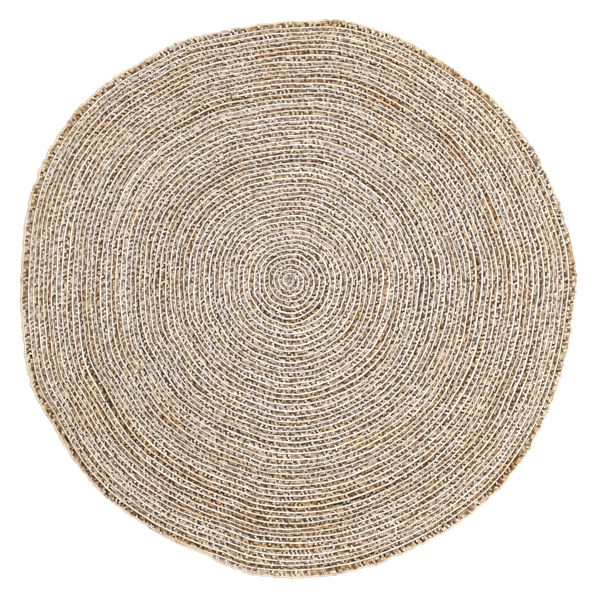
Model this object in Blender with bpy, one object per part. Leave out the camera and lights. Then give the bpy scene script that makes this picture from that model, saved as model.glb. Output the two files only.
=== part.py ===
"""Round rug made of one long plaited jute band, wound flat into a coil and stitched together.

Metres, +Z up. The rug lies on the plane z = 0, with the origin under the middle of its box.
Directions are in degrees, counter-clockwise from +X. Seen from above, the coil winds
outwards clockwise. It starts off the rug's middle, and its rim is uneven, as hand-wound rims are.
"""
import math

import bmesh
import bpy
from mathutils import Vector

ROUNDS = 55.5              # rounds of the band, from the coil's start to its end
START = (-0.0250, 0.0494)  # where the coil starts
END_DIRECTION = 240.0      # direction in which the band ends, as seen from the coil's start
TAPER = 20.0               # the stretch, in degrees, over which the band's end is drawn in
TAIL_SHARE = 0.12          # width left at the very end, as a share of the band's width
HUB_ROUNDS = 1             # rounds at the start that are bent too tightly to show a rib

CREST_HEIGHT = 0.009       # thickness of the rug along the middle of each round
GROOVE_HEIGHT = 0.0055     # thickness left in the groove between two rounds
SIDE_HEIGHT = 0.0045       # height at which the rim reaches furthest
SHOULDER_HEIGHT = 0.0074   # height of the rim's shoulder, which rounds the last round
CREST_ACROSS = 0.5         # where the crest lies, from a round's inner edge to its outer one
SHOULDER_ACROSS = 0.82     # where the shoulder lies in the same way
FOOT_INSET = 0.0025        # how far the rim's foot lies inside its widest line

STEPS = 60                 # steps in one round
FINE_FROM = 18             # inside this round only every second step is used

# How far the winding reaches from the coil's start, were every direction wound to the full
# number of rounds. The rows are the flats, bulges and dips of the rim.
#    direction, reach
RIM = (
    (0, 0.777), (7, 0.774), (15, 0.761), (28, 0.751), (42, 0.741), (52, 0.727), (68, 0.724),
    (79, 0.720), (88, 0.707), (103, 0.702), (113, 0.714), (124, 0.720), (136, 0.738),
    (150, 0.746), (165, 0.741), (176, 0.732), (190, 0.742), (203, 0.763), (211, 0.758),
    (226, 0.773), (240, 0.775), (255, 0.781), (263, 0.798), (283, 0.802), (292, 0.798),
    (318, 0.797), (333, 0.785), (352, 0.774),
)


def rim_row(index):
    """Direction and reach of a row of RIM. The rows go on round past either end."""
    turns, row = divmod(index, len(RIM))
    direction, reach = RIM[row]
    return direction + 360 * turns, reach


def rim_reach(direction):
    """Reach of the rim in any direction: a smooth closed curve through the rows of RIM."""
    direction %= 360
    after = sum(1 for row in RIM if row[0] <= direction)
    (a0, r0), (a1, r1), (a2, r2), (a3, r3) = [rim_row(after + k) for k in (-2, -1, 0, 1)]
    span = a2 - a1
    share = (direction - a1) / span
    leaving = (r2 - r0) / (a2 - a0) * span
    arriving = (r3 - r1) / (a3 - a1) * span
    square, cube = share ** 2, share ** 3
    return ((2 * cube - 3 * square + 1) * r1 + (cube - 2 * square + share) * leaving
            + (3 * square - 2 * cube) * r2 + (cube - square) * arriving)


def width_share(rounds):
    """Width of the band as a share of its full width: 1, but for the drawn-in end."""
    share = min(1.0, (ROUNDS - rounds) * 360 / TAPER)
    return TAIL_SHARE + (1 - TAIL_SHARE) * share ** 2 * (3 - 2 * share)


def place(rounds, across, height):
    """A point of the round that ends after so many rounds of winding.

    across goes from 0 at the round's inner edge to 1 at its outer edge.
    """
    direction = END_DIRECTION + 360 * (ROUNDS - rounds)
    radius = rim_reach(direction) * (rounds - 1 + across * width_share(rounds)) / ROUNDS
    angle = math.radians(direction)
    return (START[0] + radius * math.cos(angle), START[1] + radius * math.sin(angle), height)


def fill_between(mesh, inner, outer):
    """Faces between two rows of two or three points, where the inner row may be the coarser.

    Where the two rows start from one point, the first face is a triangle.
    """
    if len(inner) == len(outer):
        for k in range(len(inner) - 1):
            corners = (inner[k], inner[k + 1], outer[k + 1], outer[k])
            mesh.faces.new(list(dict.fromkeys(corners)))
    else:
        mesh.faces.new(inner + outer[::-1])


def wind_top(mesh):
    """The ribbed top: a strip from groove to crest to groove, wound round and round.

    The last round has a shoulder between its crest and its outer edge. Returns the outline:
    the last round's outer edge, and the points across the tail's end.
    """
    last = round((ROUNDS - HUB_ROUNDS) * STEPS)
    rim_from = last - STEPS
    fine_from = (FINE_FROM - HUB_ROUNDS) * STEPS
    edge, crest, shoulder = {}, {}, {}
    for step in range(last + 1):
        if step < fine_from and step % 2 == 1:
            continue
        rounds = HUB_ROUNDS + step / STEPS
        height = SIDE_HEIGHT if step >= rim_from else GROOVE_HEIGHT
        edge[step] = mesh.verts.new(place(rounds, 1, height))
        if step >= STEPS:
            crest[step] = mesh.verts.new(place(rounds, CREST_ACROSS, CREST_HEIGHT))
        if step > rim_from:
            shoulder[step] = mesh.verts.new(place(rounds, SHOULDER_ACROSS, SHOULDER_HEIGHT))
    shoulder[rim_from] = edge[rim_from]

    def row(line, start):
        return [line[step] for step in range(start, start + 3) if step in line]

    for step in range(STEPS, last, 2):
        lines = [row(edge, step - STEPS), row(crest, step), row(edge, step)]
        if step >= rim_from:
            lines.insert(2, row(shoulder, step))
        for inner, outer in zip(lines, lines[1:]):
            fill_between(mesh, inner, outer)

    hub = [edge[step] for step in range(0, STEPS + 1, 2)] + [crest[STEPS]]
    middle_point = mesh.verts.new((START[0], START[1], CREST_HEIGHT))
    for k in range(len(hub)):
        mesh.faces.new((hub[k - 1], hub[k], middle_point))

    return [edge[step] for step in range(rim_from, last + 1)] + [shoulder[last], crest[last]]


def close_below(mesh, outline):
    """The rim's wall down to its foot, and the flat underside that lies on the floor."""
    foot = []
    for point in outline:
        outward = Vector((point.co.x - START[0], point.co.y - START[1], 0)).normalized()
        below = Vector((point.co.x, point.co.y, 0)) - outward * FOOT_INSET
        foot.append(mesh.verts.new(below))
    for k in range(len(outline)):
        mesh.faces.new((outline[k - 1], outline[k], foot[k], foot[k - 1]))
    mesh.faces.new(foot)


def jute_material():
    """Undyed jute: a dull tan fibre."""
    material = bpy.data.materials.new("jute")
    material.use_nodes = True
    shader = material.node_tree.nodes["Principled BSDF"]
    shader.inputs["Base Color"].default_value = (0.50, 0.41, 0.33, 1)
    shader.inputs["Roughness"].default_value = 0.9
    shader.inputs["Metallic"].default_value = 0
    return material


def make_rug():
    """The whole rug as one closed solid."""
    mesh = bmesh.new()
    outline = wind_top(mesh)
    close_below(mesh, outline)
    bmesh.ops.recalc_face_normals(mesh, faces=mesh.faces)

    data = bpy.data.meshes.new("rug")
    mesh.to_mesh(data)
    mesh.free()
    data.shade_smooth()
    data.set_sharp_from_angle(angle=math.radians(60))
    data.materials.append(jute_material())
    rug = bpy.data.objects.new("rug", data)
    bpy.context.collection.objects.link(rug)


for old in list(bpy.data.objects):
    bpy.data.objects.remove(old, do_unlink=True)
make_rug()
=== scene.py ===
"""The round jute rug as it looks: one long plait, with a pale cord beside it, wound flat.

Metres, +Z up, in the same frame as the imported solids. Directions are in degrees,
counter-clockwise from +X, and seen from above the plait winds outwards clockwise.
"""
import math

import bmesh
import bpy
import numpy as np
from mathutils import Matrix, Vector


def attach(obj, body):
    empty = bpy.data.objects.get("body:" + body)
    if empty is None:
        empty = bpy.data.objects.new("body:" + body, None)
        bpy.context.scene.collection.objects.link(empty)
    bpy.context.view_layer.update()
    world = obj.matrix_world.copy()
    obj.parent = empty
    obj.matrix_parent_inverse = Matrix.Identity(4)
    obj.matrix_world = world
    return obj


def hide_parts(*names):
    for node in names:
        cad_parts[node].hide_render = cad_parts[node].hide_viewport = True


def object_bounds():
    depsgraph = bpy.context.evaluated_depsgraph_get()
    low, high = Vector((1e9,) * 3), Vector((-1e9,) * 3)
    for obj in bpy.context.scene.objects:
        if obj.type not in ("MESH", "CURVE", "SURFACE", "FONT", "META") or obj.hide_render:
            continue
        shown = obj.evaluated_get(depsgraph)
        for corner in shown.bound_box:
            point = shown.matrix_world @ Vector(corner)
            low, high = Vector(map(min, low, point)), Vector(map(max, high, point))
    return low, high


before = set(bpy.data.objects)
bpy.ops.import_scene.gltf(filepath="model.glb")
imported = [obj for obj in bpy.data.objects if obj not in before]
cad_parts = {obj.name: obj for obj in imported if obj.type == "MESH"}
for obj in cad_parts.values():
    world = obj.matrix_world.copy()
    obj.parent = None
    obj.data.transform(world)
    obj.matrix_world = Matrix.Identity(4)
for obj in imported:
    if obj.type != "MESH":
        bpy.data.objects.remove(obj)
solid_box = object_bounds()


# The room: a plain pale studio floor under the rug, one broad soft light above and a little
# to one side of it, and an even white surround. The camera looks straight down.
FLOOR_ACROSS = 40.0
FLOOR_GREY = 0.9
FLOOR_ROUGHNESS = 0.8
LIGHT_PLACE = (1.9, 0.4, 5.0)
LIGHT_ACROSS = 3.5
LIGHT_WATTS = 246
SURROUND = 0.70
PHOTO_PIXELS = 600
RUG_PIXELS = 558
RUG_MIDDLE_PIXEL = (299.0, 299.0)
CAMERA_HEIGHT = 6.0
SENSOR_WIDTH = 36.0

scene = bpy.context.scene
scene.view_settings.view_transform = "Standard"

floor_mesh = bpy.data.meshes.new("floor")
sheet = bmesh.new()
bmesh.ops.create_grid(sheet, x_segments=1, y_segments=1, size=FLOOR_ACROSS / 2)
sheet.to_mesh(floor_mesh)
sheet.free()
floor = bpy.data.objects.new("floor", floor_mesh)
scene.collection.objects.link(floor)
floor_paint = bpy.data.materials.new("pale floor")
floor_paint.use_nodes = True
floor_shader = floor_paint.node_tree.nodes["Principled BSDF"]
floor_shader.inputs["Base Color"].default_value = (FLOOR_GREY, FLOOR_GREY, FLOOR_GREY, 1)
floor_shader.inputs["Roughness"].default_value = FLOOR_ROUGHNESS
floor_mesh.materials.append(floor_paint)

lamp = bpy.data.lights.new("soft light", "AREA")
lamp.size = LIGHT_ACROSS
lamp.energy = LIGHT_WATTS
lamp_holder = bpy.data.objects.new("soft light", lamp)
lamp_holder.location = LIGHT_PLACE
lamp_holder.rotation_mode = "QUATERNION"
lamp_holder.rotation_quaternion = lamp_holder.location.to_track_quat("Z", "Y")
lamp_holder.visible_camera = False
scene.collection.objects.link(lamp_holder)
scene.world = bpy.data.worlds.new("white surround")
scene.world.use_nodes = True
surround = scene.world.node_tree.nodes["Background"]
surround.inputs["Color"].default_value = (1, 1, 1, 1)
surround.inputs["Strength"].default_value = SURROUND

low, high = solid_box
metres_per_pixel = (high.x - low.x + high.y - low.y) / 2 / RUG_PIXELS
view_width = PHOTO_PIXELS * metres_per_pixel
camera = bpy.data.cameras.new("camera")
camera.sensor_width = SENSOR_WIDTH
camera.lens = SENSOR_WIDTH * (CAMERA_HEIGHT - high.z) / view_width
camera_holder = bpy.data.objects.new("camera", camera)
off_right = (PHOTO_PIXELS / 2 - RUG_MIDDLE_PIXEL[0]) * metres_per_pixel
off_down = (PHOTO_PIXELS / 2 - RUG_MIDDLE_PIXEL[1]) * metres_per_pixel
camera_holder.location = (off_right, -off_down, CAMERA_HEIGHT)
scene.collection.objects.link(camera_holder)
scene.camera = camera_holder


# The winding. The plait is laid round and round from its start, a little off the rug's
# middle, and each round is sewn to the one before. Hand winding leaves rounds that wander
# and an uneven rim. The plait stops bluntly, and only its cord runs on, as a thin tail.
ROUNDS = 55.5
START = (-0.0250, 0.0494)
END_DIRECTION = 240.0
FIRST_ROUND = 0.12
SAMPLES_PER_ROUND = 720
MIDDLE_ACROSS = 0.5  # the middle line of the plait, along which its length is measured

# How far the winding reaches from its start by direction, were it all wound to the full
# number of rounds: the flats, bulges and dips of the rim.
#    direction, reach
RIM = np.array((
    (0, 0.777), (7, 0.774), (15, 0.761), (28, 0.751), (42, 0.741), (52, 0.727), (68, 0.724),
    (79, 0.720), (88, 0.707), (103, 0.702), (113, 0.714), (124, 0.720), (136, 0.738),
    (150, 0.746), (165, 0.741), (176, 0.732), (190, 0.742), (203, 0.763), (211, 0.758),
    (226, 0.773), (240, 0.775), (255, 0.781), (263, 0.798), (283, 0.802), (292, 0.798),
    (318, 0.797), (333, 0.785), (352, 0.774),
))

# The last of the winding: degrees before its end, and the width left there as a share. Only
# the cord is left over the last TAIL_DEGREES.
#    degrees, share
ENDING = np.array(((0, 0.16), (3, 0.34), (8, 0.46), (13.5, 0.50), (15.5, 0.90), (18, 1.0)))
TAIL_DEGREES = 14.5

# How the rounds wander, the first ones least: waves over the rug, each with its height in
# rounds, how many rounds it takes to come back, how many lobes it has in one turn, and where
# it starts. They die out towards the start and the rim.
#    height, rounds, lobes, start
WANDER = (
    (0.13, 9.3, 2, 0.4), (0.09, 6.4, 5, 2.1), (0.055, 4.3, -3, 4.0), (0.045, 3.7, 9, 1.3),
    (0.040, 5.2, -14, 5.2), (0.032, 7.0, 23, 3.3), (0.026, 4.9, -37, 0.9),
    (0.022, 9.0, 61, 2.6), (0.014, 6.1, -97, 1.7), (0.045, 3.1, 7, 0.2),
)
WANDER_FADES_OVER = 4.0
FIRST_WANDERS = 0.5

# Thick places, where a new bunch of jute was worked in and pushed its neighbours aside.
#    direction, rounds, how far in rounds, half-width in degrees
JOINS = ((85, 47.6, 0.42, 7), (139, 33.6, 0.30, 6), (315, 52.2, 0.30, 5), (333, 49.2, 0.32, 5),
         (352, 39.5, 0.28, 6), (228, 25.2, 0.26, 8), (30, 20.3, 0.25, 10))
JOIN_REACH = 1.1
JOIN_FADES_OVER = 4.0

# The first rounds are pulled tighter than the rest, so those outside them lie further in.
PULLED_IN = 0.35
PULLED_OVER = 3.0
PULL_FADES_OVER = 8.0

# The last round lies looser than the rest, so it is wider, and the rounds inside make room.
LAST_WIDER = 0.45
ROOM_FADES_OVER = 12.0
LOOSE_FROM_END = 40.0


def rim_reach(direction):
    """Reach of the rim in any direction: a smooth closed curve through the rows of RIM."""
    rows = np.vstack([RIM[-2:] - (360, 0), RIM, RIM[:2] + (360, 0)])
    direction = np.mod(direction, 360)
    after = np.searchsorted(rows[:, 0], direction, side="right")
    (a0, r0), (a1, r1), (a2, r2), (a3, r3) = [rows[after + k].T for k in (-2, -1, 0, 1)]
    span = a2 - a1
    share = (direction - a1) / span
    leaving = (r2 - r0) / (a2 - a0) * span
    arriving = (r3 - r1) / (a3 - a1) * span
    square, cube = share ** 2, share ** 3
    return ((2 * cube - 3 * square + 1) * r1 + (cube - 2 * square + share) * leaving
            + (3 * square - 2 * cube) * r2 + (cube - square) * arriving)


def width_share(rounds):
    """Width of the plait as a share of its full width: 1, but for the ending."""
    return np.interp((ROUNDS - rounds) * 360, ENDING[:, 0], ENDING[:, 1])


def pushed_out(out, angle):
    """How far, in rounds, a point so many rounds out lies outwards of an even winding."""
    pushed = sum(
        height * np.sin(2 * math.pi * out / every + lobes * angle + start)
        for height, every, lobes, start in WANDER
    ) * (FIRST_WANDERS + (1 - FIRST_WANDERS) * out / ROUNDS)
    for direction, rounds, push, half_width in JOINS:
        off = np.angle(np.exp(1j * (angle - math.radians(direction)))) / math.radians(half_width)
        past = out - rounds
        near = np.exp(-off ** 2 - (past / JOIN_FADES_OVER) ** 2)
        pushed = pushed + push * np.tanh(past / JOIN_REACH) * near
    return pushed * np.clip(np.minimum(out, ROUNDS - out) / WANDER_FADES_OVER, 0, 1)


def pulled_in(out):
    """How far, in rounds, a point is drawn inwards by the tighter first rounds."""
    pulled = PULLED_IN * np.clip(out / PULLED_OVER, 0, 1)
    return pulled * np.exp(-np.maximum(out - PULLED_OVER, 0) / PULL_FADES_OVER)


def room_made(out, angle):
    """How far, in rounds, a point moves inwards to make room for the wider last round."""
    turned = np.mod(np.degrees(angle) - END_DIRECTION, 360)
    inside = ROUNDS - turned / 360 - out
    loose = LAST_WIDER * np.clip(np.minimum(turned, 360 - turned) / LOOSE_FROM_END, 0, 1)
    room = np.exp(-np.maximum(inside - 1, 0) / ROOM_FADES_OVER)
    return loose * room * np.clip(inside, 0, 1)


def wound(rounds, across):
    """Where a point of the plait lies, seen from above.

    rounds counts the winding up to the point, and across goes from 0 at the plait's inner
    edge to 1 at its outer edge.
    """
    direction = END_DIRECTION + 360 * (ROUNDS - rounds)
    angle = np.radians(direction)
    out = np.maximum(rounds - 1, 0) + across * width_share(rounds) * np.minimum(rounds, 1)
    aside = pushed_out(out, angle) - pulled_in(out) - room_made(out, angle)
    radius = rim_reach(direction) * (out + aside) / ROUNDS
    return np.column_stack([START[0] + radius * np.cos(angle), START[1] + radius * np.sin(angle)])


path_rounds = np.linspace(FIRST_ROUND, ROUNDS, int((ROUNDS - FIRST_ROUND) * SAMPLES_PER_ROUND))
path_points = wound(path_rounds, np.full_like(path_rounds, MIDDLE_ACROSS))
path_steps = np.linalg.norm(np.diff(path_points, axis=0), axis=1)
path_length = np.concatenate([[0], np.cumsum(path_steps)])


# The plait: three jute strands about 4 mm thick, plaited tight and flat into a strip 9 mm
# wide, whose strands show as two rows of slanting leaves. A two-ply cord of bleached jute,
# 4.5 mm wide, lies along its outer side, sewn down with it. Each length is a closed shell.
LEAF = 0.0057      # from one leaf to the next in its row
PITCH = 0.0135     # width of the plait and its cord together
ROW_EDGE = 0.34    # where, across that width, the first row of leaves meets the second
CORD_FROM = 0.67   # where, across that width, the cord begins

# Across the plait and its cord, from the inner edge to the outer one: where each line of
# points lies, its height, how far along it leans, and how much it rises and shifts outwards
# over every other half leaf, falling and shifting back by as much in between.
#    across, height, lean, rise, shift
PROFILE = np.array((
    (0.001, 0.0004, 0.0000, 0.0000, 0.000),
    (0.042, 0.0056, 0.0002, 0.0004, -0.022),
    (0.175, 0.0083, 0.0010, 0.0007, -0.006),
    (0.340, 0.0074, 0.0022, 0.0000, 0.030),
    (0.500, 0.0083, 0.0010, -0.0007, -0.006),
    (0.670, 0.0048, 0.0000, -0.0003, -0.018),
    (0.755, 0.0077, 0.0007, 0.0004, -0.010),
    (0.900, 0.0079, -0.0007, -0.0004, -0.010),
    (0.992, 0.0043, -0.0012, 0.0000, 0.004),
    (0.999, 0.0004, 0.0000, 0.0000, 0.000),
))
LINES = len(PROFILE)
CORD_LINES = (6, 7, 8)
TAIL_HEIGHT = 0.5  # height left, as a share, where the width would come to nothing

# Along the rim the cord's outer lines are drawn in under it, its side bulges at every leaf,
# and the whole width grows and shrinks a little.
RIM_ROUND = np.array((0, 0, 0, 0, 0, 0, 0, -0.03, 0, -0.12))
RIM_SCALLOP = 0.035
RIM_WOBBLE = 0.14
WOBBLE_STEPS = 4

# Hand-plaited jute is uneven: how strongly a leaf stands out, how far its points slip along
# and stray across, and how the cord sways and the plait fills out over a few leaves.
SEED = 20
STRENGTH = (0.5, 1.4)
SLIP = 0.0005
STRAY = 0.014
CORD_STRAYS = 0.4
CORD_SWAY = 0.028
FULLNESS = (0.92, 1.04)
SWAY_STEPS = 7
SPARE_STEPS = 30   # so that the last knots lie past the plait's end

step_length = LEAF / 2
step_count = int(path_length[-1] / step_length)
every_step = np.arange(step_count + 1)
random = np.random.default_rng(SEED)
strength = random.uniform(*STRENGTH, step_count + 1)
slip = random.uniform(-SLIP, SLIP, (step_count + 1, LINES))
stray = random.uniform(-STRAY, STRAY, (step_count + 1, LINES))
stray[:, CORD_LINES] *= CORD_STRAYS
knots = np.arange(0, step_count + SPARE_STEPS, SWAY_STEPS)
cord_sway = np.interp(every_step, knots, random.uniform(-CORD_SWAY, CORD_SWAY, len(knots)))
fullness = np.interp(every_step, knots, random.uniform(*FULLNESS, len(knots)))
wobble_knots = np.arange(0, step_count + SPARE_STEPS, WOBBLE_STEPS)
wobble_heights = random.uniform(-RIM_WOBBLE, RIM_WOBBLE, len(wobble_knots))
rim_wobble = np.interp(every_step, wobble_knots, wobble_heights)


def lay_length(step, line):
    """Places in the rug of the points at these steps along the plait and lines across it."""
    line = line % LINES
    across, height, lean, rise, shift = PROFILE[line].T
    upper = (line > 0) & (line < LINES - 1)
    back = np.where(step % 2 == 0, 1, -1) * strength[step]
    along = step * step_length + lean + upper * slip[step, line]
    rounds = np.interp(along, path_length, path_rounds)
    across = across + shift * back + upper * stray[step, line]
    at_rim = rounds > ROUNDS - 1
    across = across + np.isin(line, CORD_LINES) * cord_sway[step]
    across = across + at_rim * (RIM_ROUND[line] + (line == LINES - 2) * RIM_SCALLOP * back)
    across = across * (1 + at_rim * rim_wobble[step])
    tail = TAIL_HEIGHT + (1 - TAIL_HEIGHT) * width_share(rounds)
    z = (height * np.where(upper, fullness[step], 1) + rise * back) * tail
    return np.column_stack([wound(rounds, across), np.maximum(z, PROFILE[0][1])])


# The jute of each bunch differs a little, and it is more golden towards the rug's rim. Some
# stretches were plaited from darker or paler, rustier or greyer jute than the rest.
#    first round, last round, paler, rustier
STRETCHES = (
    (0.0, 2.2, 0.23, -1.5), (3.7, 3.95, 0.00, -0.6), (7.6, 8.0, 0.10, 0.0),
    (8.14, 8.63, -0.16, 0.5), (8.63, 8.85, 0.00, 0.7), (10.86, 11.12, 0.18, 0.0),
    (18.5, 18.7, 0.00, 0.6), (19.12, 19.26, 0.00, 0.7), (20.0, 20.4, 0.10, 0.0),
    (22.85, 23.24, 0.12, 0.0), (25.0, 25.3, 0.00, -0.5), (25.72, 26.2, -0.14, -0.4),
    (29.87, 30.19, 0.13, 0.0), (31.42, 31.76, -0.14, 0.0), (34.63, 34.96, 0.16, 0.0),
    (37.7, 38.0, 0.16, 0.0), (39.5, 39.8, 0.05, -0.5), (42.3, 42.6, -0.05, 0.8),
    (42.9, 43.2, -0.08, 0.7), (43.26, 43.67, -0.20, 0.4), (43.85, 44.05, -0.10, 0.7),
    (45.0, 45.4, 0.00, 0.4), (48.4, 48.6, -0.08, 0.6), (51.45, 52.3, 0.13, -0.5),
    (52.9, 53.9, 0.12, 0.1), (54.4, 55.1, 0.01, 0.15), (55.14, 55.38, -0.02, 0.2),
    (55.4, 55.5, 0.20, -0.8),
)
STRETCH_SOFT = 0.02  # how soft a stretch's ends are, in rounds

# Patches of the rug that came out darker or paler, rustier or greyer, over several rounds:
# first broad ones, then rusty stains, and last the paler first rounds.
#    direction, rounds, half-width in degrees, half-height in rounds, paler, rustier
PATCHES = (
    (235, 54.3, 34, 2.6, -0.12, 0.2), (255, 45.0, 38, 5.0, -0.05, 0.1),
    (180, 11.0, 70, 6.0, 0.03, 0.0), (90, 49.0, 25, 3.0, 0.00, 0.3),
    (182, 42.0, 22, 14.0, 0.05, -0.2),
    (42, 44.0, 2.8, 0.9, -0.16, 2.8), (35, 43.6, 5.0, 0.7, -0.10, 2.0),
    (62, 43.0, 5.0, 0.8, -0.06, 2.6), (20, 43.1, 4.0, 0.7, -0.05, 2.2),
    (184, 42.7, 5.0, 0.6, -0.02, 1.8), (197, 42.2, 5.0, 0.8, -0.05, 1.9),
    (190, 31.6, 2.5, 0.6, -0.08, 1.5), (185, 49.6, 2.0, 0.5, -0.08, 1.5),
    (250, 43.4, 4.0, 0.6, -0.05, 1.6), (258, 48.0, 7.0, 0.9, -0.04, 1.6),
    (245, 48.4, 3.0, 0.6, -0.04, 1.5), (319, 54.8, 4.0, 0.6, -0.20, 2.2),
    (122, 46.8, 3.0, 0.6, -0.07, 2.0), (0, 3.2, 720, 2.2, 0.07, -0.5),
)
BUNCH = 1.7           # metres of plait from one bunch of jute to the next
BUNCH_SHADE = (0.09, 0.55)
GOLDEN_OUTSIDE = 0.7
GOLDEN_FROM = 0.6
bunch_ends = np.arange(0, path_length[-1] + BUNCH, BUNCH)
bunch_shades = random.uniform(np.negative(BUNCH_SHADE), BUNCH_SHADE, (len(bunch_ends), 2))


def jute_of(rounds):
    """How much paler and how much rustier than the rest the jute is at these rounds."""
    along = np.interp(rounds, path_rounds, path_length)
    shades = np.column_stack([np.interp(along, bunch_ends, shade) for shade in bunch_shades.T])
    shades[:, 1] += GOLDEN_OUTSIDE * (rounds / ROUNDS - GOLDEN_FROM)
    for first, last, paler, rustier in STRETCHES:
        inside = np.minimum(rounds - first, last - rounds) / STRETCH_SOFT
        shades += np.clip(inside, 0, 1)[:, None] * (paler, rustier)
    direction = END_DIRECTION + 360 * (ROUNDS - rounds)
    for middle, round_there, half_width, half_height, paler, rustier in PATCHES:
        off = (np.mod(direction - middle + 180, 360) - 180) / half_width
        near = np.exp(-off ** 2 - ((rounds - round_there) / half_height) ** 2)
        shades += near[:, None] * (paler, rustier)
    return shades


# Each length has two maps. "band" counts the leaves along the plait, and goes from 0 to 1
# across its face and on to 2 across its underside. "OFBake" lays the shell out in rows that
# don't overlap, with its ends above them, and squeezes the underside, which nobody sees.
MAP_ROWS = 16
MAP_TOP = 0.975
MAP_MARGIN = 0.004
UNDERSIDE_SQUEEZE = 0.4
END_APART = 0.1
END_WIDTH = 0.02
END_LIFT = 0.005
END_SCALE = 1.5
loop_round = np.vstack([PROFILE, PROFILE[:1]])
span_across = np.hypot(np.diff(loop_round[:, 0]) * PITCH, np.diff(loop_round[:, 1]))
span_across[-1] *= UNDERSIDE_SQUEEZE
map_across = np.concatenate([[0], np.cumsum(span_across)]) / span_across.sum()


def lay_maps(mesh, first, steps, step, line):
    """Fills both maps of a length, given the step and the line that each point lies on."""
    corner = np.empty(len(mesh.loops), dtype=int)
    mesh.loops.foreach_get("vertex_index", corner)
    step, line = step[corner], line[corner]
    across = np.append(PROFILE[:-1, 0], (2 - PROFILE[-1][0], 2 - PROFILE[0][0]))[line]
    band = np.column_stack([(step + first) / 2, across])
    mesh.uv_layers["band"].data.foreach_set("uv", band.ravel())
    in_row = math.ceil(steps / MAP_ROWS)
    row = step.reshape(-1, 4).min(axis=1).repeat(4) // in_row
    row_height = MAP_TOP / MAP_ROWS
    flat_x = MAP_MARGIN + (step - row * in_row) / in_row * (1 - 2 * MAP_MARGIN)
    flat_y = MAP_MARGIN / 2 + row * row_height + map_across[line] * (row_height - MAP_MARGIN)
    mesh.uv_layers["OFBake"].data.foreach_set("uv", np.column_stack([flat_x, flat_y]).ravel())


# A length starts as a flat grid with its maps. Its points are laid in their places, its two
# long edges are joined under it, and its ends are closed.
SAME_POINT = 0.00001
HALF_GRID = 0.5


def close_length(mesh):
    """Joins a length's long edges, closes its ends, and turns all its faces outwards."""
    shell = bmesh.new()
    shell.from_mesh(mesh)
    band_map = shell.loops.layers.uv["band"]
    bake_map = shell.loops.layers.uv["OFBake"]
    edge_points = [v for v in shell.verts if v.is_boundary]
    bmesh.ops.remove_doubles(shell, verts=edge_points, dist=SAME_POINT)
    open_edges = [e for e in shell.edges if e.is_boundary]
    ends = bmesh.ops.holes_fill(shell, edges=open_edges, sides=0)["faces"]
    for k, end in enumerate(ends):
        for loop in end.loops:
            beside = next(other for other in loop.vert.link_loops if other is not loop)
            loop[band_map].uv = beside[band_map].uv
            map_x = END_APART + END_APART * k + END_WIDTH * (beside[band_map].uv.y % 1)
            loop[bake_map].uv = (map_x, MAP_TOP + END_LIFT + END_SCALE * loop.vert.co.z)
    bmesh.ops.recalc_face_normals(shell, faces=shell.faces)
    for face in shell.faces:
        face.smooth = True
    shell.to_mesh(mesh)
    shell.free()


def make_length(number, first, last):
    """One length of the plait from one step to another, closed at both ends."""
    steps = last - first
    strip = bmesh.new()
    strip.loops.layers.uv.new("band")
    strip.loops.layers.uv.new("OFBake")
    bmesh.ops.create_grid(strip, x_segments=steps, y_segments=LINES, size=HALF_GRID, calc_uvs=True)
    mesh = bpy.data.meshes.new(f"plait_length_{number:02d}")
    strip.to_mesh(mesh)
    strip.free()

    grid = np.empty(len(mesh.vertices) * 3)
    mesh.vertices.foreach_get("co", grid)
    grid = grid.reshape(-1, 3)
    step = np.rint((grid[:, 0] + HALF_GRID) * steps).astype(int)
    line = np.rint((grid[:, 1] + HALF_GRID) * LINES).astype(int)
    mesh.vertices.foreach_set("co", lay_length(step + first, line).ravel())
    shades = jute_of(np.interp((step + first) * step_length, path_length, path_rounds))
    for name, shade in zip(("paler", "rustier"), shades.T):
        mesh.attributes.new(name, "FLOAT", "POINT").data.foreach_set("value", shade)

    lay_maps(mesh, first, steps, step, line)
    close_length(mesh)
    plait = bpy.data.objects.new(mesh.name, mesh)
    scene.collection.objects.link(plait)
    return plait


# The look of the jute: undyed fibre, tan with grey, brown and rusty stretches, each leaf a
# shade of its own, and painted shade between the leaves. The cord is the same fibre, bleached.
NOISE_ROUGHNESS = 0.6

# The sockets of a Mix node that mix colours. Others have the same names, so they go by number.
MIX_SHARE, MIX_FIRST, MIX_SECOND, MIX_RESULT = 0, 6, 7, 2


class Signal:
    """A value in a shader that changes over the surface, and can be reckoned with."""

    def __init__(self, finish, socket):
        self.finish = finish
        self.socket = socket

    def maths(self, operation, *others):
        return self.finish.maths(operation, self, *others)

    def __add__(self, other):
        return self.maths("ADD", other)

    def __radd__(self, other):
        return self.maths("ADD", other)

    def __sub__(self, other):
        return self.maths("SUBTRACT", other)

    def __rsub__(self, other):
        return self.finish.maths("SUBTRACT", other, self)

    def __mul__(self, other):
        return self.maths("MULTIPLY", other)

    def __rmul__(self, other):
        return self.maths("MULTIPLY", other)

    def __truediv__(self, other):
        return self.maths("DIVIDE", other)

    def __gt__(self, other):
        return self.maths("GREATER_THAN", other)


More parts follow.
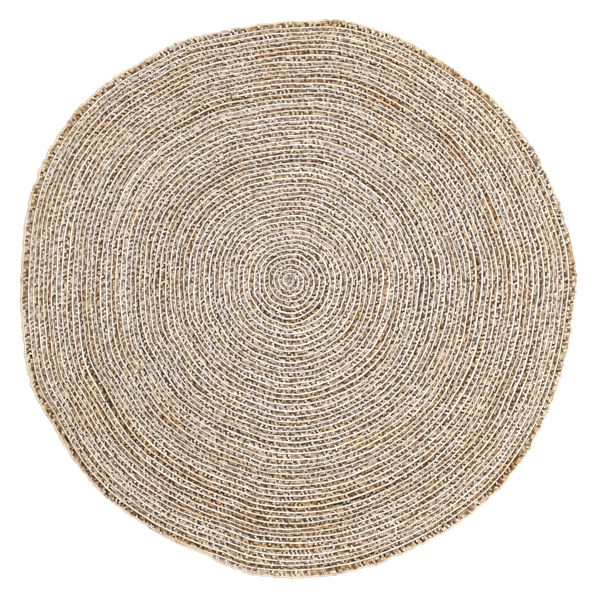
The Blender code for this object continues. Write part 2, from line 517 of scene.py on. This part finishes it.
class Finish:
    """A material in the making: each method adds nodes to it."""

    def __init__(self, name):
        self.material = bpy.data.materials.new(name)
        self.material.use_nodes = True
        self.tree = self.material.node_tree
        self.shader = self.tree.nodes["Principled BSDF"]

    def node(self, kind, settings, sockets, output=0):
        """What a new node of this kind gives, with its settings made and its sockets filled."""
        made = self.tree.nodes.new("ShaderNode" + kind)
        for name, value in settings.items():
            if name == "stops":
                ramp = made.color_ramp.elements
                while len(ramp) < len(value):
                    ramp.new(0.5)
                for stop, (place, colour) in zip(ramp, value):
                    stop.position = place
                    stop.color = (*colour, 1)
            else:
                setattr(made, name, value)
        for name, value in sockets.items():
            self.fill(made.inputs[name], value)
        return Signal(self, made.outputs[output])

    def fill(self, socket, value):
        """Links a signal to a socket, or sets the socket's own value."""
        if isinstance(value, Signal):
            self.tree.links.new(value.socket, socket)
        elif isinstance(value, tuple) and len(value) == 3 and socket.type == "RGBA":
            socket.default_value = (*value, 1)
        else:
            socket.default_value = value

    def maths(self, operation, *values):
        return self.node("Math", {"operation": operation}, dict(enumerate(values)))

    def mix(self, share, first, second, blend="MIX"):
        """A colour that goes from the first to the second as share goes from 0 to 1."""
        settings = {"data_type": "RGBA", "blend_type": blend}
        sockets = {MIX_SHARE: share, MIX_FIRST: first, MIX_SECOND: second}
        return self.node("Mix", settings, sockets, MIX_RESULT)

    def steps(self, value, low, high):
        """0 below low, 1 above high, and smooth between them."""
        sockets = {"Value": value, "From Min": low, "From Max": high}
        return self.node("MapRange", {"interpolation_type": "SMOOTHSTEP"}, sockets)

    def ramp(self, value, stops):
        """A colour that runs through the stops as value goes from 0 to 1."""
        return self.node("ValToRGB", {"stops": stops}, {"Fac": value})

    def noise(self, x, y, scale=1.0, detail=2.0):
        """Smooth uneven values from 0 to 1 over the plane of two signals."""
        plane = self.node("CombineXYZ", {}, {"X": x, "Y": y})
        sockets = {"Vector": plane, "Scale": scale, "Detail": detail, "Roughness": NOISE_ROUGHNESS}
        return self.node("TexNoise", {"noise_dimensions": "2D"}, sockets)

    def chance(self, x, y):
        """A separate value from 0 to 1 for each pair of whole numbers."""
        pair = self.node("CombineXYZ", {}, {"X": x, "Y": y})
        return self.node("TexWhiteNoise", {"noise_dimensions": "2D"}, {"Vector": pair})


def srgb(red, green, blue):
    """A colour as the eye reads it, 0 to 255, turned into the shader's linear values."""
    shares = (red / 255, green / 255, blue / 255)
    return tuple(c / 12.92 if c <= 0.04045 else ((c + 0.055) / 1.055) ** 2.4 for c in shares)


def leaves_at(rounds):
    """How many leaves of the plait there are up to these rounds."""
    return float(np.interp(rounds, path_rounds, path_length)) / LEAF


# Along the plait, in leaves: the first rounds, or hub, which have no cord, the rim, where the
# cord is less bleached, and the tail, which is cord alone.
HUB_ENDS = leaves_at(1.35)
RIM_BEGINS = leaves_at(ROUNDS - 1 - TAIL_DEGREES / 360)
RIM_SETTLES = RIM_BEGINS + 12
TAIL_BEGINS = leaves_at(ROUNDS - TAIL_DEGREES / 360)
ROWS = 3           # two rows of leaves, and the cord
HALF_LEAF = 0.5    # how far on the leaves of one row lie from those of the other

# Colours of the plait, from its darkest fibres to its palest: those of most of it, of the
# rusty and the greyish stretches, and of the silvery hub. The gaps between leaves get a dark
# painted shade.
#    tone, colour
TAN = (
    (0.00, srgb(30, 14, 2)), (0.12, srgb(48, 28, 9)), (0.28, srgb(98, 71, 43)),
    (0.46, srgb(163, 139, 114)), (0.66, srgb(217, 194, 170)), (0.90, srgb(250, 231, 214)),
)
RUSTY = (
    (0.00, srgb(34, 14, 1)), (0.12, srgb(54, 28, 7)), (0.32, srgb(116, 78, 43)),
    (0.56, srgb(187, 145, 102)), (0.90, srgb(240, 210, 174)),
)
GREYISH = (
    (0.00, srgb(26, 14, 5)), (0.12, srgb(44, 30, 17)), (0.32, srgb(112, 91, 75)),
    (0.56, srgb(188, 167, 152)), (0.90, srgb(245, 229, 218)),
)
SILVER = (
    (0.10, srgb(48, 42, 40)), (0.32, srgb(116, 108, 104)), (0.56, srgb(192, 186, 181)),
    (0.90, srgb(246, 243, 240)),
)
SILVER_SHARE = 0.6
# painted shade in the gaps between the leaves
GAP_SHADE = srgb(40, 20, 3)

# The colours are multiplied by a tint, which goes from cool to straw along the plait, and
# turns darker and redder where the jute is stained.
COOL_TINT = (0.98, 0.99, 1.14)
STRAW_TINT = (1.00, 1.03, 0.87)
STAIN_TINT = (0.93, 0.75, 0.56)
STAINED = (1.3, 2.5)

# The tone of a point adds up from these: its row's slow changes, how its leaf differs from
# the leaf beside it and the one opposite, its fibres, its bunch of jute, and the bright rim.
TONE_BASE = 0.09
ROW_TONE = 0.25
LEAF_TONE = 0.77
HUB_LEAF_TONE = 0.5
NEIGHBOUR = 0.3
LEAVES_EVEN = 0.2
FIBRE_TONE = 0.5
BUNCH_TONE = 0.8
RIM_TONE = 0.14
RIM_BRIGHTENS = (0.15, 0.55)

# The cast of a point, from greyish below 0 to rusty above it, adds up from these.
AREA_CAST = 0.75
LEAF_CAST = 0.1
BUNCH_CAST = 0.25
DARK_CAST = 0.9
PALER_CAST = 0.5

# Between which values the jute turns rusty or greyish, and between which the tint turns from
# cool to straw, how far leaves differ in that, and the tint's share of straw in the hub.
HUE_TURNS = (0.48, 0.86)
STRAW_TURNS = (0.30, 0.70)
LEAF_STRAW = 0.15
HUB_STRAW = 0.5

# What changes along the plait: which line of the noise it follows, how many times it changes
# in a metre, and how much finer change lies on top.
#    line, times in a metre, detail
RUST_CHANGES = (11.0, 3.1, 2.0)
GREY_CHANGES = (31.0, 2.3, 2.0)
WORN_CHANGES = (51.0, 16.0, 3.0)
RUBBED_CHANGES = (71.0, 9.0, 3.0)
FAINT_CHANGES = (91.0, 0.9, 2.0)
STRAW_CHANGES = (131.0, 4.0, 3.0)
COVERED_CHANGES = (151.0, 25.0, 3.0)

# The rows of leaves follow lines of their own, so far apart, and change so many times in a
# metre, with so much finer change. The hue also changes from place to place in the rug.
ROWS_APART = 3.7
ROW_CHANGES = (8.0, 3.0)
AREA_CHANGES = 7.0
AREA_DETAIL = 3.0

# Which throw of chance settles a leaf's tone, its hue, how open the painted shade of the gap
# around it is and how much straw is in it, and how far the painted shade of leaves lapping
# over the cord reaches at its inner and its outer side.
TONE_THROW = 1.0
HUE_THROW = 2.0
GAP_THROW = 3.0
STRAW_THROW = 4.0
INNER_LAP_THROW = 8.0
OUTER_LAP_THROW = 9.0

# Fibres: how many there are along a leaf and across the plait, and how far they are shifted
# from leaf to leaf. Then the lint of the cord, along each of its turns and across it.
FIBRES_ALONG = 9
FIBRES_ACROSS = 5
FIBRE_SHIFT = 5
LINT_ALONG = 7
LINT_ACROSS = 9

# The painted shade in the gap around a leaf: how far the leaf falls away at its sides, how
# much the gaps differ and fray, how high on the leaf the shade reaches, and how much of its
# dark colour shows.
LEAF_SIDES = 0.75
GAPS_DIFFER = 0.5
GAPS_FRAY = 0.4
GAP_SHADE_ON_LEAF = (0.0, 0.42)
GAP_SHADE_SHARE = 0.96

# The cord: how many turns it would slant over the whole width, where its crest and its foot
# are, and its colours, some of them painted shade, each with the values between which it
# comes on and its full share.
CORD_SLANT = 3.1
CORD_CREST = 0.755
CORD_FOOT = 1.0
BLEACHED = srgb(255, 248, 241)
BLEACHED_OUTSIDE = srgb(255, 244, 228)
WORN = srgb(222, 196, 166)
WORN_TURNS = (0.54, 0.80)
WORN_SHARE = 0.8
FAINT = srgb(214, 190, 164)
FAINT_TURNS = (0.45, 0.75)
FAINT_SHARE = 0.45
YELLOWED = srgb(231, 218, 195)
YELLOWED_SHARE = 0.85
# painted shade along the cord's edges, where leaves lap over it and in the grooves beside it
SHADED = srgb(82, 54, 30)
SHADED_INSIDE = (CORD_FROM - 0.01, CORD_FROM + 0.02)
SHADED_OUTSIDE = (0.98, 1.01)
SHADED_SHARE = 0.9
LAP_SHADE = 0.09
# painted shade in the creases between the cord's plies
SEAM_SHADE = srgb(173, 148, 112)
SEAM_FRAYS = 0.5
SEAM_SHADE_ON_PLY = (0.0, 0.5)
SEAM_SHADE_SHARE = 0.4
RIM_SEAM_SHADE_SHARE = 0.3
RUBBED_TURNS = (0.48, 0.62)
RUBBED_SHARE = 0.65
COVERED_TURNS = (0.64, 0.73)
COVERED_SHARE = 0.85
LOW_SIDE = (0.993, 0.999)
# low on the rim's side the plait's leaves show, with painted shade between them
SIDE_GAP_SHADE = srgb(90, 72, 50)
SIDE_PLY = srgb(178, 156, 126)
SIDE_SHARE = 0.85

# The fine relief of fibres and lint over the mesh's own, and how dull the jute is.
RELIEF_DEPTH = 0.0008
RELIEF_STRENGTH = 0.8
ROUND_RELIEF = 0.8
FIBRE_RELIEF = 0.5
LINT_RELIEF = 0.4
ROUGHNESS = 0.8
FIBRE_ROUGHNESS = 0.15
SPECULAR = 0.3


def jute_finish():
    """Undyed jute plait, tan with grey, brown and rusty lengths, and its bleached cord."""
    jute = Finish("jute")
    band = jute.node("UVMap", {"uv_map": "band"}, {})
    leaves = jute.node("SeparateXYZ", {}, {"Vector": band}, "X")
    around = jute.node("SeparateXYZ", {}, {"Vector": band}, "Y")
    across = around.maths("PINGPONG", 1.0)
    paler = jute.node("Attribute", {"attribute_name": "paler"}, {}, "Fac")
    rustier = jute.node("Attribute", {"attribute_name": "rustier"}, {}, "Fac")
    along = leaves * LEAF
    hub = 1 - (leaves > HUB_ENDS)
    rim = jute.steps(leaves, RIM_BEGINS, RIM_SETTLES)
    tail = leaves > TAIL_BEGINS

    # The leaves of the plait: which leaf a point is on, and how near the leaf's back.
    second = across > ROW_EDGE
    third = across > CORD_FROM
    row = second + third
    wave = (leaves.maths("FRACT") * 2 - 1).maths("ABSOLUTE")
    back = wave + (second - third) * (1 - 2 * wave)
    off_middle = (across - ROW_EDGE / 2 - row * ROW_EDGE) / (ROW_EDGE / 2)
    dome = back * (2 - back) - off_middle * off_middle * LEAF_SIDES
    leaf = (leaves + HALF_LEAF * (1 - second + third)).maths("FLOOR") * ROWS + row

    # The tone changes slowly along a row, then from leaf to leaf, and from fibre to fibre.
    slow = jute.noise(along, row * ROWS_APART, *ROW_CHANGES)
    spot = jute.chance(leaf, TONE_THROW)
    beside = jute.chance(leaf + ROWS, TONE_THROW)
    opposite = jute.chance(leaf + 1 - second * 2, TONE_THROW)
    fibre = jute.noise(leaves * FIBRES_ALONG + spot * FIBRE_SHIFT, across * FIBRES_ACROSS)
    spots = spot - beside * NEIGHBOUR - opposite * NEIGHBOUR - LEAVES_EVEN
    spots = spots * (LEAF_TONE + hub * HUB_LEAF_TONE)
    bright_rim = rim * jute.steps(across, *RIM_BRIGHTENS)
    tone = slow * ROW_TONE + spots + fibre * FIBRE_TONE + TONE_BASE
    tone = tone + paler * BUNCH_TONE + bright_rim * RIM_TONE

    # Its hue: tan, turned rusty or greyish by stretches, tinted, and with painted shade in the
    # gaps.
    here = jute.node("TexCoord", {}, {}, "Object")
    area = jute.node("TexNoise", {}, {"Vector": here, "Scale": AREA_CHANGES, "Detail": AREA_DETAIL})
    hue = jute.chance(leaf, HUE_THROW)
    cast = (area - 0.5) * AREA_CAST + (hue - 0.5) * LEAF_CAST + rustier * BUNCH_CAST
    cast = cast - (slow - 0.5) * DARK_CAST - paler * PALER_CAST
    rust = jute.noise(along, *RUST_CHANGES) + cast
    grey = jute.noise(along, *GREY_CHANGES) - cast
    plait = jute.mix(jute.steps(rust, *HUE_TURNS), jute.ramp(tone, TAN), jute.ramp(tone, RUSTY))
    plait = jute.mix(jute.steps(grey, *HUE_TURNS), plait, jute.ramp(tone, GREYISH))
    plait = jute.mix(hub * SILVER_SHARE, plait, jute.ramp(tone, SILVER))
    leaf_straw = (jute.chance(leaf, STRAW_THROW) - 0.5) * LEAF_STRAW
    straw = jute.steps(jute.noise(along, *STRAW_CHANGES) + leaf_straw, *STRAW_TURNS)
    tint = jute.mix(straw * (1 - hub) + hub * HUB_STRAW, COOL_TINT, STRAW_TINT)
    tint = jute.mix(jute.steps(rustier, *STAINED), tint, STAIN_TINT)
    plait = jute.mix(1.0, plait, tint, "MULTIPLY")
    # painted shade: the gaps between the leaves are darkened, where shade falls between them
    looseness = (jute.chance(leaf, GAP_THROW) - 0.5) * GAPS_DIFFER
    gap_shade = 1 - jute.steps(dome - looseness + (fibre - 0.5) * GAPS_FRAY, *GAP_SHADE_ON_LEAF)
    plait = jute.mix(gap_shade * GAP_SHADE_SHARE, plait, GAP_SHADE)

    # The cord: two-ply, so it shows slanting turns, here and there worn thin or stained.
    turn = leaves + (CORD_CREST - across) * CORD_SLANT
    ply = (turn.maths("FRACT") * 2 - 1).maths("ABSOLUTE")
    lint = jute.noise(turn * LINT_ALONG, across * LINT_ACROSS)
    cord = jute.mix(leaves / RIM_BEGINS, BLEACHED, BLEACHED_OUTSIDE)
    worn = jute.steps(jute.noise(along, *WORN_CHANGES), *WORN_TURNS)
    cord = jute.mix(worn * WORN_SHARE, cord, WORN)
    faint = jute.steps(jute.noise(along, *FAINT_CHANGES), *FAINT_TURNS)
    cord = jute.mix(faint * FAINT_SHARE, cord, FAINT)
    cord = jute.mix(rim * YELLOWED_SHARE, cord, YELLOWED)

    # It has painted shade along its edges, where leaves lap over it and in the grooves beside it,
    # and painted shade between its plies. It is rubbed down to the colour of the plait around the
    # rim, now and then covered by fibres, and low on the rim's side it shows the plait's leaves,
    # with painted shade between them.
    hump = 1 - wave * wave
    inner = jute.chance(leaves.maths("FLOOR"), INNER_LAP_THROW) * hump * LAP_SHADE
    outer = jute.chance(leaves.maths("FLOOR"), OUTER_LAP_THROW) * hump * LAP_SHADE
    # painted shade along the cord's inner and outer edges
    shaded_inside = 1 - jute.steps(across - inner, *SHADED_INSIDE)
    shaded_outside = jute.steps(across + outer, *SHADED_OUTSIDE) * (1 - rim)
    shaded = shaded_inside.maths("MAXIMUM", shaded_outside)
    cord = jute.mix(shaded * SHADED_SHARE * (1 - tail), cord, SHADED)
    # painted shade in the creases between the plies
    seam_shade = 1 - jute.steps(ply + (lint - 0.5) * SEAM_FRAYS, *SEAM_SHADE_ON_PLY)
    cord = jute.mix(seam_shade * (SEAM_SHADE_SHARE + rim * RIM_SEAM_SHADE_SHARE), cord, SEAM_SHADE)
    rubbed = jute.steps(jute.noise(along, *RUBBED_CHANGES), *RUBBED_TURNS) * rim
    cord = jute.mix(rubbed * RUBBED_SHARE, cord, plait)
    covered = jute.steps(jute.noise(along, *COVERED_CHANGES), *COVERED_TURNS)
    cord = jute.mix(covered * COVERED_SHARE, cord, plait)
    # low on the rim's side: the plait's leaves, with painted shade between them
    low_side = jute.steps(around, *LOW_SIDE) * rim
    cord = jute.mix(low_side * SIDE_SHARE, cord, jute.mix(wave, SIDE_GAP_SHADE, SIDE_PLY))
    on_cord = third * (1 - (around > CORD_FOOT)) * (leaves > HUB_ENDS)
    on_cord = on_cord.maths("MAXIMUM", tail)

    leaf_relief = dome.maths("MAXIMUM", 0.0) * ROUND_RELIEF + fibre * FIBRE_RELIEF
    cord_relief = ply * (2 - ply) * ROUND_RELIEF + lint * LINT_RELIEF
    relief = leaf_relief + on_cord * (cord_relief - leaf_relief)
    sockets = {"Height": relief, "Strength": RELIEF_STRENGTH, "Distance": RELIEF_DEPTH}
    jute.fill(jute.shader.inputs["Base Color"], jute.mix(on_cord, plait, cord))
    jute.fill(jute.shader.inputs["Roughness"], ROUGHNESS + fibre * FIBRE_ROUGHNESS)
    jute.fill(jute.shader.inputs["Normal"], jute.node("Bump", {}, sockets))
    jute.shader.inputs["Specular IOR Level"].default_value = SPECULAR
    return jute.material


# The lengths. The plait and its cord are one run of about 129 m, made here in 16 lengths of
# 8 m that meet end to end.
LENGTHS = 16
finish = jute_finish()
cuts = np.linspace(0, step_count, LENGTHS + 1).astype(int)
for number in range(LENGTHS):
    plait = make_length(number + 1, int(cuts[number]), int(cuts[number + 1]))
    plait.data.materials.append(finish)
    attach(plait, "root")
    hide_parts("rug")
